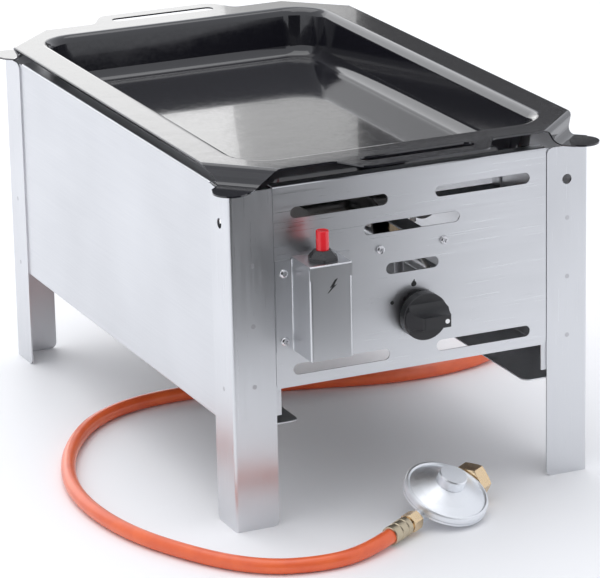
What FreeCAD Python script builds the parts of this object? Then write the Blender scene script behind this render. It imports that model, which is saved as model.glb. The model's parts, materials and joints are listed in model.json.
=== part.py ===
"""Gas griddle burner: a stainless steel housing on four angle legs, with a lift-off enamelled pan.

Units are millimetres. +X is to the right, +Y to the back, +Z up. The origin is on the floor, under the
middle of the housing. Each function makes one sub-part, and main() writes one STEP file per sub-part.
"""
import FreeCAD, Part
import math
import os

V = FreeCAD.Vector

# ---- driving dimensions -------------------------------------------------------------------------
WIDTH = 340.0            # housing over the legs, along X
DEPTH = 540.0            # housing over the legs, along Y
LEG_H = 302.0            # leg height
LEG_W = 40.0             # width of each leg flange
LEG_T = 1.5              # leg sheet thickness
PANEL_T = 1.0            # panel sheet thickness
PANEL_TOP = 303.0        # top edge of all four panels
FRONT_BOTTOM = 124.0     # lower edge of the front and back panels
SIDE_BOTTOM = 92.0       # underside of the side panels' bottom flanges
BOTTOM_FLANGE = 61.5     # width of those flanges
REACH = 307.5            # furthest point from the middle, to the front and to the back
BEND_R = 1.2             # inside radius of the sheet bends
WELD_BACK = 45.0         # width of the side panels' return flanges behind the legs
CORNER_CLEAR = 43.0      # length at each corner where the side panels stay below the leg tops

PAN_X = 350.0            # pan over the rim
PAN_Y = 552.0
PAN_TOP = 320.0          # top of the pan's rim
PAN_T = 1.5              # pan sheet thickness
PAN_CHAMFER = 46.6       # cut of the rim's corners
PAN_DEPTH = 46.0         # rim to the pan's floor, inside
WALL_INSET = 32.0        # rim edge to the top of the pan's wall
WALL_TAPER = 7.0
WALL_CORNER_R = 32.0
LIP_REST = 0.2           # gap between the pan's lips and the leg tops

AXIS_X = 5.9             # knob, tap and mixing tube, to the right of the middle
AXIS_Z = 172.1           # height of the knob's axis
SCREW_Z = 234.0          # valve bracket screws
BURNER_Z = 235.0         # axis of the burner tubes
BURNER_X = 62.0          # burner tubes, each side of the middle
BURNER_R = 14.0
INLET_X = 104.0          # gas inlet in the back panel
INLET_Z = 150.0

IGN_X = -93.6            # axis of the ignition button
IGN_Y = -290.0
BOX_X0, BOX_X1 = -113.5, -74.5
BOX_Z0, BOX_Z1 = 157.0, 240.5

HOSE_R = 6.65
FLOOR = 6.7              # height of a hose that lies on the floor
FERRULE_R = 8.25

LEG_FACE = DEPTH / 2                    # outer faces of the front and back legs
FRONT_FACE = -LEG_FACE + LEG_T - PANEL_T   # outer face of the front panel
FRONT_BACK = FRONT_FACE + PANEL_T       # its inner face
SIDE_FACE = WIDTH / 2 - LEG_T           # outer faces of the side panels

# The hose's route from the inlet's ferrule to the regulator's, as the corners of its straight runs.
HOSE_ROUTE = [
    (181.0, 297.5, 150.0),
    (223.0, 297.5, 150.0),
    (268.0, 280.0, 140.0),
    (300.0, 238.0, 116.0),
    (300.0, 162.0, 60.0),
    (290.0, 88.0, 17.0),
    (234.0, 28.0, FLOOR),
    (134.0, 13.0, FLOOR),
    (28.0, 45.0, FLOOR),
    (-82.0, 73.0, FLOOR),
    (-172.0, 50.0, FLOOR),
    (-234.0, -30.0, FLOOR),
    (-268.0, -130.0, FLOOR),
    (-262.0, -236.0, FLOOR),
    (-224.0, -322.0, FLOOR),
    (-186.0, -367.0, FLOOR),
    (-141.0, -381.0, FLOOR),
    (-99.4, -376.2, 6.9),
    (-66.93, -357.24, 9.27),
]

# The regulator: the middle of its in-out axis, how that axis turns and climbs, and its roll.
REG_CENTRE = V(4.0, -315.8, 14.5)
REG_HEADING = 30.3
REG_ROLL = 24.6
REG_R = 36.9


# ---- small helpers ------------------------------------------------------------------------------
def box(x0, x1, y0, y1, z0, z1):
    return Part.makeBox(x1 - x0, y1 - y0, z1 - z0, V(x0, y0, z0))


def rod(start, direction, radius, length):
    return Part.makeCylinder(radius, length, V(*start), V(*direction))


def tube(start, direction, outer, inner, length):
    return rod(start, direction, outer, length).cut(rod(start, direction, inner, length))


def cone(start, direction, r0, r1, length):
    return Part.makeCone(r0, r1, length, V(*start), V(*direction))


def fuse(shapes):
    joined = shapes[0].multiFuse(shapes[1:])
    return joined.removeSplitter()


def cut(shape, tools):
    return shape.cut(Part.makeCompound(tools))


def on_axis(shape):
    """Moves a shape built at x = 0 to the knob's axis."""
    shape.translate(V(AXIS_X, 0, 0))
    return shape


def hexagon(start, direction, flats, length, turn=0.0):
    """A hexagonal prism from start along direction."""
    radius = flats / math.sqrt(3)
    points = [
        V(radius * math.cos(math.radians(60 * i + turn)), radius * math.sin(math.radians(60 * i + turn)), 0)
        for i in range(7)
    ]
    prism = Part.Face(Part.makePolygon(points)).extrude(V(0, 0, length))
    prism.Placement = FreeCAD.Placement(V(*start), FreeCAD.Rotation(V(0, 0, 1), V(*direction)))
    return prism


def hex_nut(start, direction, flats, bore, length, turn=0.0):
    """A nut with both faces chamfered."""
    prism = hexagon(start, direction, flats, length, turn)
    corner = flats / math.sqrt(3)
    bevel = 0.28 * (corner - flats / 2) + 0.3
    axis = V(*direction)
    axis.normalize()
    foot = V(*start)
    barrel = fuse([
        cone(foot, axis, corner - 2 * bevel, corner, bevel),
        rod(foot + axis * bevel, axis, corner, length - 2 * bevel),
        cone(foot + axis * (length - bevel), axis, corner, corner - 2 * bevel, bevel),
    ])
    return prism.common(barrel).cut(rod(foot - axis, axis, bore, length + 2))


def revolve(points, start, direction):
    """Points (radius, height) turned about an axis that leaves start along direction."""
    wire = Part.makePolygon([V(r, 0, h) for r, h in points + points[:1]])
    solid = Part.Face(wire).revolve(V(0, 0, 0), V(0, 0, 1), 360)
    solid.Placement = FreeCAD.Placement(V(*start), FreeCAD.Rotation(V(0, 0, 1), V(*direction)))
    return solid


def crossing(p, d, q, e):
    """Where the lines p + s d and q + t e of a plane meet."""
    s = ((q[0] - p[0]) * e[1] - (q[1] - p[1]) * e[0]) / (d[0] * e[1] - d[1] * e[0])
    return (p[0] + s * d[0], p[1] + s * d[1])


def offset_line(points, side):
    """The polyline moved sideways by side, to the left of its direction."""
    rows = []
    for a, b in zip(points, points[1:]):
        length = math.dist(a, b)
        d = ((b[0] - a[0]) / length, (b[1] - a[1]) / length)
        rows.append(((a[0] - side * d[1], a[1] + side * d[0]), d, length))
    moved = [rows[0][0]]
    for (p, d, _), (q, e, _) in zip(rows, rows[1:]):
        moved.append(crossing(p, d, q, e))
    (p, d, length) = rows[-1]
    moved.append((p[0] + d[0] * length, p[1] + d[1] * length))
    return moved


def rounded(points, radii, place):
    """Edges of a polyline with its inner corners rounded; place turns a plane point into a vector."""
    edges = []
    last = points[0]
    for a, b, c, r in zip(points, points[1:], points[2:], radii):
        ab, bc = math.dist(a, b), math.dist(b, c)
        u = ((a[0] - b[0]) / ab, (a[1] - b[1]) / ab)
        w = ((c[0] - b[0]) / bc, (c[1] - b[1]) / bc)
        half = math.acos(max(-1.0, min(1.0, u[0] * w[0] + u[1] * w[1]))) / 2
        reach = r / math.tan(half)
        first = (b[0] + u[0] * reach, b[1] + u[1] * reach)
        second = (b[0] + w[0] * reach, b[1] + w[1] * reach)
        middle = (u[0] + w[0], u[1] + w[1])
        size = math.hypot(*middle)
        depth = r / math.sin(half) - r
        top = (b[0] + middle[0] / size * depth, b[1] + middle[1] / size * depth)
        edges.append(Part.LineSegment(place(last), place(first)).toShape())
        edges.append(Part.Arc(place(first), place(top), place(second)).toShape())
        last = second
    edges.append(Part.LineSegment(place(last), place(points[-1])).toShape())
    return edges


def sheet_face(points, thickness, radii, place):
    """The section of a bent sheet: its middle line, and the middle radius of each bend."""
    half = thickness / 2
    sides = []
    for side in (half, -half):
        turned = []
        for a, b, c, r in zip(points, points[1:], points[2:], radii):
            turn = (b[0] - a[0]) * (c[1] - b[1]) - (b[1] - a[1]) * (c[0] - b[0])
            turned.append(r - side if turn > 0 else r + side)
        sides.append((offset_line(points, side), turned))
    (left, left_r), (right, right_r) = sides
    edges = rounded(left, left_r, place)
    edges += rounded(right, right_r, place)
    edges.append(Part.LineSegment(place(left[0]), place(right[0])).toShape())
    edges.append(Part.LineSegment(place(left[-1]), place(right[-1])).toShape())
    return Part.Face(Part.Wire(Part.__sortEdges__(edges)))


def outline_face(points, radii, place):
    """A closed outline with a radius at each of its points."""
    start = tuple((a + b) / 2 for a, b in zip(points[-1], points[0]))
    edges = rounded([start] + points + [start], radii, place)
    return Part.Face(Part.Wire(edges))


def slot(x, z, length, height, y0, y1):
    """A cutter for a round-ended slot through a wall in the XZ plane."""
    half = length / 2 - height / 2
    return fuse([
        box(x - half, x + half, y0, y1, z - height / 2, z + height / 2),
        rod((x - half, y0, z), (0, 1, 0), height / 2, y1 - y0),
        rod((x + half, y0, z), (0, 1, 0), height / 2, y1 - y0),
    ])


def pan_head_screw(seat, direction, shank_r, length, head_r=4.0, head_h=2.6):
    """A cross-recessed screw whose head's underside is at seat; direction points out of the head."""
    axis = V(*direction)
    foot = V(*seat)
    dome = revolve(
        [(0, 0), (head_r, 0), (head_r, head_h * 0.35), (head_r * 0.86, head_h * 0.72),
         (head_r * 0.55, head_h), (0, head_h)],
        foot, axis,
    )
    across = FreeCAD.Rotation(V(0, 0, 1), axis)
    arms = []
    for turn in (0, 90):
        arm = Part.makeBox(head_r * 1.05, 0.9, head_h, V(-head_r * 0.525, -0.45, head_h * 0.45))
        arm.rotate(V(0, 0, 0), V(0, 0, 1), turn + 20)
        arm.Placement = FreeCAD.Placement(foot, across).multiply(arm.Placement)
        arms.append(arm)
    return fuse([cut(dome, arms), rod(foot, axis * -1, shank_r, length)])


def path_of(points, share=0.45):
    """Straight runs joined by tangent arcs, each arc's radius share of its shorter run over tan."""
    pts = [V(*p) for p in points]
    edges, radii = [], []
    last = pts[0]
    for a, b, c in zip(pts, pts[1:], pts[2:]):
        u = (a - b).normalize()
        w = (c - b).normalize()
        turn = math.pi - u.getAngle(w)
        reach = share * min(a.distanceToPoint(b), b.distanceToPoint(c))
        radius = reach / math.tan(turn / 2)
        first, second = b + u * reach, b + w * reach
        middle = (u + w).normalize()
        top = b + middle * (radius / math.cos(turn / 2) - radius)
        edges.append(Part.LineSegment(last, first).toShape())
        edges.append(Part.Arc(first, top, second).toShape())
        radii.append(radius)
        last = second
    edges.append(Part.LineSegment(last, pts[-1]).toShape())
    return Part.Wire(edges), radii


def swept(points, radius, share=0.45, bore=0.0):
    """A round wire or tube along a route of straight runs and arcs."""
    path, radii = path_of(points, share)
    start = V(*points[0])
    heading = V(*points[1]) - start

    def solid(r):
        ring = Part.Wire(Part.makeCircle(r, start, heading))
        return path.makePipeShell([ring], True, False)

    made = solid(radius)
    if bore:
        made = made.cut(solid(bore))
    return made, radii, path.Length


def mirrored(shape, axis):
    normal = V(1, 0, 0) if axis == "x" else V(0, 1, 0)
    return shape.mirror(V(0, 0, 0), normal)


# ---- housing ------------------------------------------------------------------------------------
def leg(turns):
    """An equal angle with rounded flange ends; the accessory hole is in its first flange."""
    mid = LEG_T / 2
    corner = (-WIDTH / 2 + mid, -DEPTH / 2 + mid)
    section = sheet_face(
        [(corner[0], -DEPTH / 2 + LEG_W), corner, (-WIDTH / 2 + LEG_W, corner[1])],
        LEG_T, [BEND_R + mid], lambda p: V(p[0], p[1], 0),
    )
    solid = section.extrude(V(0, 0, LEG_H))
    round_r, big = 6.0, 60.0
    x0, y0 = -WIDTH / 2, -DEPTH / 2
    front = outline_face(
        [(x0 - 10, 0), (x0 + LEG_W, 0), (x0 + LEG_W, LEG_H), (x0 - 10, LEG_H)],
        [0.1, round_r, round_r, 0.1], lambda p: V(p[0], y0 - big, p[1]),
    ).extrude(V(0, 2 * big, 0))
    side = outline_face(
        [(y0 - 10, 0), (y0 + LEG_W, 0), (y0 + LEG_W, LEG_H), (y0 - 10, LEG_H)],
        [0.1, round_r, round_r, 0.1], lambda p: V(x0 - big, p[0], p[1]),
    ).extrude(V(2 * big, 0, 0))
    solid = solid.common(front).common(side)
    solid = solid.cut(rod((x0 - 5, y0 + 20.4, 272), (1, 0, 0), 4.5, 10))
    if turns % 2:
        # A quarter turn about Z brings the corner to another one; the housing isn't square, so move it.
        solid.translate(V(WIDTH / 2, DEPTH / 2, 0))
        solid.rotate(V(0, 0, 0), V(0, 0, 1), 90)
        solid.translate(V(WIDTH / 2, -DEPTH / 2, 0))
        if turns == 3:
            solid.rotate(V(0, 0, 0), V(0, 0, 1), 180)
    elif turns == 2:
        solid.rotate(V(0, 0, 0), V(0, 0, 1), 180)
    return solid


def end_panel():
    """The front panel without its openings: a flat sheet with its top edge folded inwards."""
    half_w = WIDTH / 2 - LEG_W - 0.7
    mid = PANEL_T / 2
    section = sheet_face(
        [(FRONT_FACE + mid, FRONT_BOTTOM), (FRONT_FACE + mid, PANEL_TOP - mid),
         (FRONT_FACE + 11, PANEL_TOP - mid)],
        PANEL_T, [BEND_R + mid], lambda p: V(-half_w, p[0], p[1]),
    )
    sheet = section.extrude(V(2 * half_w, 0, 0))
    outline = outline_face(
        [(-half_w, FRONT_BOTTOM), (half_w, FRONT_BOTTOM), (half_w, PANEL_TOP + 5), (-half_w, PANEL_TOP + 5)],
        [4.0, 4.0, 0.5, 0.5], lambda p: V(p[0], FRONT_FACE - 5, p[1]),
    )
    return sheet.common(outline.extrude(V(0, 30, 0)))


def vents(rows):
    y0, y1 = FRONT_FACE - 3, FRONT_FACE + 4
    return [slot(x, z, length, 10.0, y0, y1) for x, z, length in rows]


LONG_SLOTS = [(-68.0, 278.0, 91.0), (68.0, 278.0, 91.0), (-68.0, 139.0, 91.0), (68.0, 139.0, 91.0)]
AIR_SLOTS = [(0.0, 253.4, 91.0), (0.0, 215.6, 50.0)]
BRACKET_SCREWS = [(-30.3, SCREW_Z), (30.3, SCREW_Z)]
BOX_SCREWS = [(x, z) for x in (-121.3, -66.0) for z in (226.4, 165.9)]
LEAD_HOLE_Z = 187.0


def front_panel():
    tools = vents(LONG_SLOTS + AIR_SLOTS)
    y = FRONT_FACE - 3
    tools.append(rod((AXIS_X, y, AXIS_Z), (0, 1, 0), 17.0, 8))
    tools += [rod((x, y, z), (0, 1, 0), 2.15, 8) for x, z in BRACKET_SCREWS + BOX_SCREWS]
    tools.append(rod((IGN_X, y, LEAD_HOLE_Z), (0, 1, 0), 5.0, 8))
    return cut(end_panel(), tools)


def back_panel():
    plain = cut(end_panel(), vents(LONG_SLOTS))
    turned = mirrored(plain, "y")
    return turned.cut(rod((INLET_X, LEG_FACE - 5, INLET_Z), (0, 1, 0), 7.2, 10))


def side_panel(side):
    """A wall with a top fold, a wide bottom flange and return flanges behind the legs."""
    mid = PANEL_T / 2
    face = -SIDE_FACE + mid
    end_y = LEG_FACE - LEG_T
    section = sheet_face(
        [(-SIDE_FACE + 12, PANEL_TOP - mid), (face, PANEL_TOP - mid), (face, SIDE_BOTTOM + mid),
         (-WIDTH / 2 + BOTTOM_FLANGE, SIDE_BOTTOM + mid)],
        PANEL_T, [BEND_R + mid, BEND_R + mid], lambda p: V(p[0], -end_y, p[1]),
    )
    wall = section.extrude(V(0, 2 * end_y, 0))
    low = LEG_H - 0.5
    notches = [
        box(-WIDTH / 2 - 5, -WIDTH / 2 + 80, y0, y1, low, PANEL_TOP + 5)
        for y0, y1 in ((-end_y - 5, -LEG_FACE + CORNER_CLEAR), (LEG_FACE - CORNER_CLEAR, end_y + 5))
    ]
    wall = cut(wall, notches)
    returns = []
    for sign in (-1, 1):
        bend = sheet_face(
            [(face, sign * (end_y - 20)), (face, sign * (end_y - mid)),
             (-WIDTH / 2 + WELD_BACK, sign * (end_y - mid))],
            PANEL_T, [BEND_R + mid], lambda p: V(p[0], p[1], SIDE_BOTTOM + 8),
        )
        returns.append(bend.extrude(V(0, 0, low - SIDE_BOTTOM - 8)))
    # The wall stops short of the returns' bends, where it would stand proud of their corners.
    for sign in (-1, 1):
        edge = sign * (end_y - 3)
        far = sign * (end_y + 5)
        y0, y1 = min(edge, far), max(edge, far)
        wall = wall.cut(box(-WIDTH / 2 - 1, -SIDE_FACE + 3, y0, y1, SIDE_BOTTOM + 8, PANEL_TOP + 5))
    solid = fuse([wall] + returns)
    rounding = outline_face(
        [(-WIDTH, -end_y), (-WIDTH / 2 + BOTTOM_FLANGE, -end_y), (-WIDTH / 2 + BOTTOM_FLANGE, end_y),
         (-WIDTH, end_y)],
        [0.1, 7.0, 7.0, 0.1], lambda p: V(p[0], p[1], 0),
    )
    solid = solid.common(rounding.extrude(V(0, 0, LEG_H + 50)))
    solid = mirrored(solid, "x") if side > 0 else solid
    return cut(solid, [
        rod((side * (WIDTH / 2 + 5), side * 249.6, 272), (-side, 0, 0), 5.0, 20),
        rod((side * 149.6, -side * (LEG_FACE + 5), 272), (0, side, 0), 5.0, 20),
    ])


# ---- pan ----------------------------------------------------------------------------------------
def griddle_pan():
    """One pressed and enamelled sheet: rim, two slotted handles, tapered well and four corner tongues."""
    mid = PAN_T / 2
    hx, hy = PAN_X / 2, PAN_Y / 2
    cx, cy = hx - WALL_INSET - WALL_CORNER_R, hy - WALL_INSET - WALL_CORNER_R
    top, floor = PAN_TOP - mid, PAN_TOP - PAN_DEPTH - mid
    ring = [(0.0, floor), (WALL_CORNER_R - WALL_TAPER, floor), (WALL_CORNER_R, top),
            (WALL_CORNER_R + 12.0, top)]
    bends = [12.0 + mid, 8.0 - mid]

    def strip(origin, out):
        place = lambda p: V(origin[0] + out[0] * p[0], origin[1] + out[1] * p[0], p[1])
        return sheet_face(ring, PAN_T, bends, place)

    well = [box(-cx, cx, -cy, cy, floor - mid, floor + mid)]
    for s in (-1, 1):
        well.append(strip((s * cx, -cy), (s, 0)).extrude(V(0, 2 * cy, 0)))
        well.append(strip((-cx, s * cy), (0, s)).extrude(V(2 * cx, 0, 0)))
        for t in (-1, 1):
            quarter = strip((s * cx, t * cy), (s, 0))
            well.append(quarter.revolve(V(s * cx, t * cy, 0), V(0, 0, 1), 90 * s * t))

    back = 4 * math.sqrt(2)             # the plate ends 4 mm before each fold
    c = PAN_CHAMFER + back
    root, tip, out = 74.0, 58.0, REACH - 4.0
    half = [(root, hy), (tip, out), (-tip, out), (-root, hy)]
    outline = [(hx, -hy + c), (hx, hy - c), (hx - c, hy)] + half + [(-hx + c, hy), (-hx, hy - c)]
    outline += [(-hx, -hy + c), (-hx + c, -hy)]
    outline += [(-x, -y) for x, y in half] + [(hx - c, -hy)]
    corner_r = [3, 3, 3, 10, 13, 13, 10, 3, 3, 3, 3, 10, 13, 13, 10, 3]
    plate = outline_face(outline, corner_r, lambda p: V(p[0], p[1], PAN_TOP - PAN_T)).extrude(V(0, 0, PAN_T))
    ix, iy, ir = cx + WALL_CORNER_R + 10, cy + WALL_CORNER_R + 10, WALL_CORNER_R + 10
    hole = outline_face(
        [(ix, -iy), (ix, iy), (-ix, iy), (-ix, -iy)], [ir] * 4, lambda p: V(p[0], p[1], PAN_TOP - 20),
    ).extrude(V(0, 0, 40))
    plate = plate.cut(hole)
    grips = []
    for s in (-1, 1):
        y = s * 282.0
        grips.append(outline_face(
            [(-53, y - 6.5), (53, y - 6.5), (53, y + 6.5), (-53, y + 6.5)], [6.3] * 4,
            lambda p: V(p[0], p[1], PAN_TOP - 20),
        ).extrude(V(0, 0, 40)))
    plate = cut(plate, grips)
    return fuse([plate] + well + [corner_tongue(sx, sy) for sx in (-1, 1) for sy in (-1, 1)])


def corner_tongue(sx, sy):
    """A tapering tongue folded down from a chamfered rim corner, with a round lip that sits on the leg."""
    mid = PAN_T / 2
    lip = LEG_H + LIP_REST + mid
    half = PAN_CHAMFER / math.sqrt(2)
    section = sheet_face(
        [(-9.0, PAN_TOP - mid), (0.0, PAN_TOP - mid), (1.2, lip), (38.0, lip)],
        PAN_T, [3.5, 8.0], lambda p: V(p[0], -60, p[1]),
    )
    sheet = section.extrude(V(0, 120, 0))
    right = [(half + 10, PAN_TOP + 1), (half + 10, PAN_TOP - PAN_T), (half - 0.4, PAN_TOP - PAN_T - 0.05),
             (20.5, LEG_H + 5), (17.5, LEG_H + 1.5), (16.6, LEG_H - 2)]
    outline = right + [(-y, z) for y, z in reversed(right)]
    taper = Part.Face(Part.makePolygon([V(-20, y, z) for y, z in outline + outline[:1]])).extrude(V(80, 0, 0))
    edge = [(-9.0, half + 9), (0, half), (19.6, half), (19.6, -half), (0, -half), (-9.0, -half - 9)]
    plan = Part.Face(Part.makePolygon([V(x, y, LEG_H - 5) for x, y in edge + edge[:1]])).extrude(V(0, 0, 40))
    plan = fuse([plan, rod((19.6, 0, LEG_H - 5), (0, 0, 1), 15.8, 40)])
    tongue = sheet.common(taper).common(plan)
    fold = V(sx * (PAN_X / 2 - PAN_CHAMFER / 2), sy * (PAN_Y / 2 - PAN_CHAMFER / 2), 0)
    tongue.rotate(V(0, 0, 0), V(0, 0, 1), math.degrees(math.atan2(sy, sx)))
    tongue.translate(fold)
    return tongue


# ---- burner -------------------------------------------------------------------------------------
PROBE_X, SPARK_X = 38.0, 92.0
TUBE_Y0, TUBE_Y1 = -165.0, 205.0
MANIFOLD_Y = -138.0
RAILS = [-104.0, 150.0]
PROBE_Y = RAILS[0] + 22.0
RAIL_TOP = BURNER_Z - BURNER_R - 0.1


def burner_tube(side):
    """A flame tube with two rows of ports along its top."""
    x = side * BURNER_X
    body = tube((x, TUBE_Y0, BURNER_Z), (0, 1, 0), BURNER_R, BURNER_R - 1.0, TUBE_Y1 - TUBE_Y0)
    ports = []
    count, pitch = 32, 11.0
    for i in range(count):
        y = TUBE_Y0 + 14 + i * pitch
        for lean in (-32, 32):
            d = V(math.sin(math.radians(lean)), 0, math.cos(math.radians(lean)))
            ports.append(Part.makeCylinder(1.2, BURNER_R + 4, V(x, y, BURNER_Z), d))
    ports.append(rod((0, MANIFOLD_Y, BURNER_Z), (side, 0, 0), BURNER_R - 2.5, BURNER_X))
    return cut(body, ports)


def burner_end_caps():
    caps = []
    for x in (-BURNER_X, BURNER_X):
        for y, d in ((TUBE_Y0, -1), (TUBE_Y1, 1)):
            caps.append(fuse([
                rod((x, y, BURNER_Z), (0, d, 0), BURNER_R, 1.2),
                rod((x, y, BURNER_Z), (0, -d, 0), BURNER_R - 1.05, 6.0),
            ]))
    return Part.makeCompound(caps)


def burner_manifold():
    """The cross tube that feeds both flame tubes from the mixing tube."""
    cross = tube((-BURNER_X, MANIFOLD_Y, BURNER_Z), (1, 0, 0), BURNER_R - 1.5, BURNER_R - 2.5, 2 * BURNER_X)
    neck = rod((AXIS_X, MANIFOLD_Y - 22, BURNER_Z), (0, 1, 0), BURNER_R - 1.5, 22)
    joined = fuse([cross, neck])
    tools = [rod((s * BURNER_X, TUBE_Y0, BURNER_Z), (0, 1, 0), BURNER_R, 80) for s in (-1, 1)]
    tools.append(rod((-BURNER_X, MANIFOLD_Y, BURNER_Z), (1, 0, 0), BURNER_R - 2.5, 2 * BURNER_X))
    tools.append(rod((AXIS_X, MANIFOLD_Y - 22, BURNER_Z), (0, 1, 0), BURNER_R - 2.5, 22))
    return cut(joined, tools)


def mixing_tube():
    """A venturi with a bell mouth that faces the injector."""
    y_end = MANIFOLD_Y - 22
    length = y_end - (-209.0)
    r = BURNER_R - 1.5
    outer = [(16.0, 0), (13.0, 4), (9.5, 14), (9.5, 24), (r, length)]
    inner = [(rad - 1.2, h) for rad, h in reversed(outer)]
    return revolve(outer + inner, (0, -209.0, BURNER_Z), (0, 1, 0))


def burner_rail(y):
    """A channel across the housing, with end tabs welded to the side panels."""
    half_w = SIDE_FACE - PANEL_T - 0.2
    t = 1.2
    section = sheet_face(
        [(y - 11.4, RAIL_TOP - 14), (y - 11.4, RAIL_TOP - t / 2), (y + 11.4, RAIL_TOP - t / 2),
         (y + 11.4, RAIL_TOP - 14)],
        t, [BEND_R + t / 2] * 2, lambda p: V(-half_w, p[0], p[1]),
    )
    solids = [section.extrude(V(2 * half_w, 0, 0))]
    for s in (-1, 1):
        x0, x1 = sorted((s * half_w, s * (half_w - t)))
        solids.append(box(x0, x1, y - 8, y + 8, RAIL_TOP - t, RAIL_TOP + 18))
    holes = [
        rod((s * BURNER_X + d, y, RAIL_TOP - 5), (0, 0, 1), 1.7, 10) for s in (-1, 1) for d in (-19.5, 19.5)
    ]
    return cut(fuse(solids), holes)


def clamp_screw_places():
    return [(s * BURNER_X + d, y) for y in RAILS for s in (-1, 1) for d in (-19.5, 19.5)]


def burner_clamps():
    """Straps over the flame tubes, one at each crossing with a rail."""
    straps = []
    t = 1.0
    for y in RAILS:
        for s in (-1, 1):
            x = s * BURNER_X
            arch = tube((x, y - 6, BURNER_Z), (0, 1, 0), BURNER_R + 0.1 + t, BURNER_R + 0.1, 12)
            legs = [
                box(x + d - t / 2, x + d + t / 2, y - 6, y + 6, RAIL_TOP, BURNER_Z)
                for d in (-BURNER_R - 0.1 - t / 2, BURNER_R + 0.1 + t / 2)
            ]
            feet = [
                box(x + a, x + b, y - 6, y + 6, RAIL_TOP, RAIL_TOP + t)
                for a, b in ((-24, -BURNER_R - 0.1), (BURNER_R + 0.1, 24))
            ]
            arch = arch.common(box(x - 30, x + 30, y - 6, y + 6, BURNER_Z, BURNER_Z + 30))
            holes = [rod((x + d, y, RAIL_TOP - 1), (0, 0, 1), 1.7, 4) for d in (-19.5, 19.5)]
            straps.append(cut(fuse([arch] + legs + feet), holes))
    return Part.makeCompound(straps)


def clamp_screws():
    return Part.makeCompound([
        pan_head_screw((x, y, RAIL_TOP + 1.0), (0, 0, 1), 1.65, 8, 3.2, 2.0) for x, y in clamp_screw_places()
    ])


# ---- gas valve ----------------------------------------------------------------------------------
VALVE_Y0 = -262.0        # front face of the valve body
PLUG_Y0, PLUG_Y1 = -249.0, -222.0
PLUG_R0, PLUG_R1 = 9.0, 7.0
MAGNET_Y0, MAGNET_Y1 = -210.0, -184.0
FEED_Y = -231.0
VALVE_SCREWS = (-13.5, 13.5)


def valve_bracket():
    """The plate behind the front panel that carries the valve, with a tab over the injector holder."""
    y0, t = FRONT_BACK, 1.5
    plate = box(-38, 38, y0, y0 + t, 148, 245)
    tab = box(AXIS_X - 9, AXIS_X + 9, y0, -222, 243.5, 245)
    tools = [
        slot(0, 215.6, 60, 17, y0 - 2, y0 + 5),
        rod((AXIS_X, y0 - 2, AXIS_Z), (0, 1, 0), 8.2, 6),
    ]
    tools += [rod((x, y0 - 2, z), (0, 1, 0), 1.75, 6) for x, z in BRACKET_SCREWS]
    tools += [rod((AXIS_X + x, y0 - 2, AXIS_Z), (0, 1, 0), 1.65, 6) for x in VALVE_SCREWS]
    return cut(fuse([plate, tab]), tools)


def bracket_screws():
    return Part.makeCompound([
        pan_head_screw((x, FRONT_FACE, z), (0, -1, 0), 1.7, 6.0) for x, z in BRACKET_SCREWS
    ])


def valve_body():
    """The tap's brass body: cavity and taper bore on the knob's axis, inlet at the right, outlet on top."""
    y0, z = VALVE_Y0, AXIS_Z
    parts = [
        rod((0, y0, z), (0, 1, 0), 12.8, 52),
        hexagon((0, y0 + 46, z), (0, 1, 0), 22, 6, 30),
        rod((0, -238, z), (1, 0, 0), 6.5, 22),
        rod((0, FEED_Y, z), (0, 0, 1), 6.0, 20),
        box(-17, 17, y0, y0 + 6, z - 8, z + 8),
    ]
    tools = [
        rod((0, y0 - 1, z), (0, 1, 0), 9.6, PLUG_Y0 - 0.5 - y0 + 1),
        cone((0, PLUG_Y0 - 0.5, z), (0, 1, 0), PLUG_R0 + 0.09, PLUG_R1 + 0.05, PLUG_Y1 - PLUG_Y0 + 0.5),
        rod((0, PLUG_Y1 - 1, z), (0, 1, 0), 4.0, 20),
        rod((0, MAGNET_Y0 - 1, z), (0, 1, 0), 7.05, 10),
        rod((3, -238, z), (1, 0, 0), 3.0, 30),
        rod((0, FEED_Y, z + 3), (0, 0, 1), 3.0, 30),
    ]
    tools += [rod((x, y0 - 1, z), (0, 1, 0), 1.65, 8) for x in VALVE_SCREWS]
    return cut(fuse(parts), tools)


def valve_bonnet():
    """The cover that closes the tap's front cavity and guides the spindle."""
    y0 = FRONT_BACK + 1.5
    disc = box(-17, 17, y0, VALVE_Y0, AXIS_Z - 8, AXIS_Z + 8)
    disc = fuse([disc, rod((0, y0, AXIS_Z), (0, 1, 0), 12.8, VALVE_Y0 - y0)])
    disc = fuse([disc, rod((0, y0 - 3.0, AXIS_Z), (0, 1, 0), 8.0, 3.0)])
    tools = [rod((0, y0 - 5, AXIS_Z), (0, 1, 0), 4.05, 15)]
    tools += [rod((x, y0 - 1, AXIS_Z), (0, 1, 0), 1.65, 10) for x in VALVE_SCREWS]
    return cut(disc, tools)


def valve_screws():
    """Two screws that hold the bracket, the bonnet and the tap's body together, under the knob."""
    return Part.makeCompound([
        pan_head_screw((x, FRONT_BACK, AXIS_Z), (0, -1, 0), 1.6, 11.0, 2.6, 1.4) for x in VALVE_SCREWS
    ])


def valve_spindle():
    """A D-shaft with a spring collar and a flat tongue that drives the plug."""
    shaft = rod((0, -291.0, AXIS_Z), (0, 1, 0), 4.0, 291.0 - 261.6)
    flat = box(-5, 5, -292, -274, AXIS_Z + 3.0, AXIS_Z + 6)
    collar = rod((0, -261.6, AXIS_Z), (0, 1, 0), 8.6, 1.4)
    stem = rod((0, -260.2, AXIS_Z), (0, 1, 0), 3.0, 6.8)
    tongue = box(-5.0, 5.0, -254.4, -244.4, AXIS_Z - 1.1, AXIS_Z + 1.1)
    return fuse([shaft.cut(flat), collar, stem, tongue])


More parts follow.
